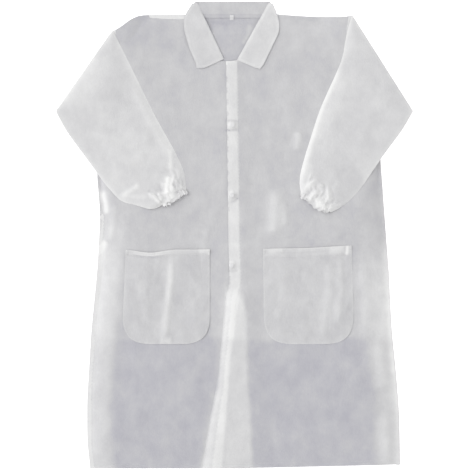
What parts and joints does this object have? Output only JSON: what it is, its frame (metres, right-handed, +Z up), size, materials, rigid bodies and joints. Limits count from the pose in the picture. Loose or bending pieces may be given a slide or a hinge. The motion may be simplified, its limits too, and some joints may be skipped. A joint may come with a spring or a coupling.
{
  "type": "disposable lab coat",
  "caption": "Disposable nonwoven lab coat lying flat on its back, snapped shut, sleeves with elastic cuffs folded over the front, turned collar, patch pockets.",
  "frame": {"origin": "under the middle of the whole coat, on the surface that it lies on", "axes": "+Y from the hem to the collar, +Z up from the surface, +X to the wearer's left"},
  "size_m": [0.838, 1.1, 0.025],
  "materials": {
    "nonwoven": "matt spunbond nonwoven with a fine bond pattern",
    "white_plastic": "smooth moulded plastic",
    "elastic": "covered elastic",
    "label": "plain woven tape"
  },
  "bodies": {
    "coat_body": {"back_panel": "nonwoven", "collar_back_fall": "nonwoven", "collar_back_stand": "nonwoven", "left_collar_stand": "nonwoven", "left_front_panel": "nonwoven", "left_pocket": "nonwoven", "left_shoulder_seam": "nonwoven", "left_side_seam": "nonwoven", "left_sleeve_head": "nonwoven", "neck_seam_tape": "nonwoven", "right_collar_stand": "nonwoven", "right_front_panel": "nonwoven", "right_placket_facing": "nonwoven", "right_pocket": "nonwoven", "right_shoulder_seam": "nonwoven", "right_side_seam": "nonwoven", "right_sleeve_head": "nonwoven", "size_label": "label", "snap_1_post": "white_plastic", "snap_1_stud": "white_plastic", "snap_2_post": "white_plastic", "snap_2_stud": "white_plastic", "snap_3_post": "white_plastic", "snap_3_stud": "white_plastic"},
    "right_sleeve": {"right_sleeve": "nonwoven", "right_cuff_casing": "nonwoven", "right_cuff_elastic": "elastic"},
    "left_sleeve": {"left_sleeve": "nonwoven", "left_cuff_casing": "nonwoven", "left_cuff_elastic": "elastic"},
    "right_collar_leaf": {"right_collar_leaf": "nonwoven"},
    "left_collar_leaf": {"left_collar_leaf": "nonwoven"},
    "left_front_flap": {"left_front_flap": "nonwoven", "left_placket_facing": "nonwoven", "snap_1_cap": "white_plastic", "snap_1_socket": "white_plastic", "snap_2_cap": "white_plastic", "snap_2_socket": "white_plastic", "snap_3_cap": "white_plastic", "snap_3_socket": "white_plastic"}
  },
  "joints": [
    {"name": "right_sleeve_fold", "type": "hinge", "parent": "coat_body", "child": "right_sleeve", "pos_m": [-0.287, 0.479, 0.0125], "axis": [-0.5726, -0.8198, 0], "range_deg": [0, 180]},
    {"name": "left_sleeve_fold", "type": "hinge", "parent": "coat_body", "child": "left_sleeve", "pos_m": [0.419, 0.29, 0.0125], "axis": [-0.5354, 0.8446, 0], "range_deg": [0, 180]},
    {"name": "right_collar_leaf_lift", "type": "hinge", "parent": "coat_body", "child": "right_collar_leaf", "pos_m": [-0.025, 0.413, 0.01215], "axis": [-0.4255, 0.905, 0], "range_deg": [0, 100]},
    {"name": "left_collar_leaf_lift", "type": "hinge", "parent": "coat_body", "child": "left_collar_leaf", "pos_m": [0.081, 0.547, 0.01215], "axis": [-0.4829, -0.8757, 0], "range_deg": [0, 100]},
    {"name": "left_front_open", "type": "hinge", "parent": "coat_body", "child": "left_front_flap", "pos_m": [0.074, -0.548, 0.0165], "axis": [-0.0647, 0.9979, 0], "range_deg": [0, 150]}
  ]
}
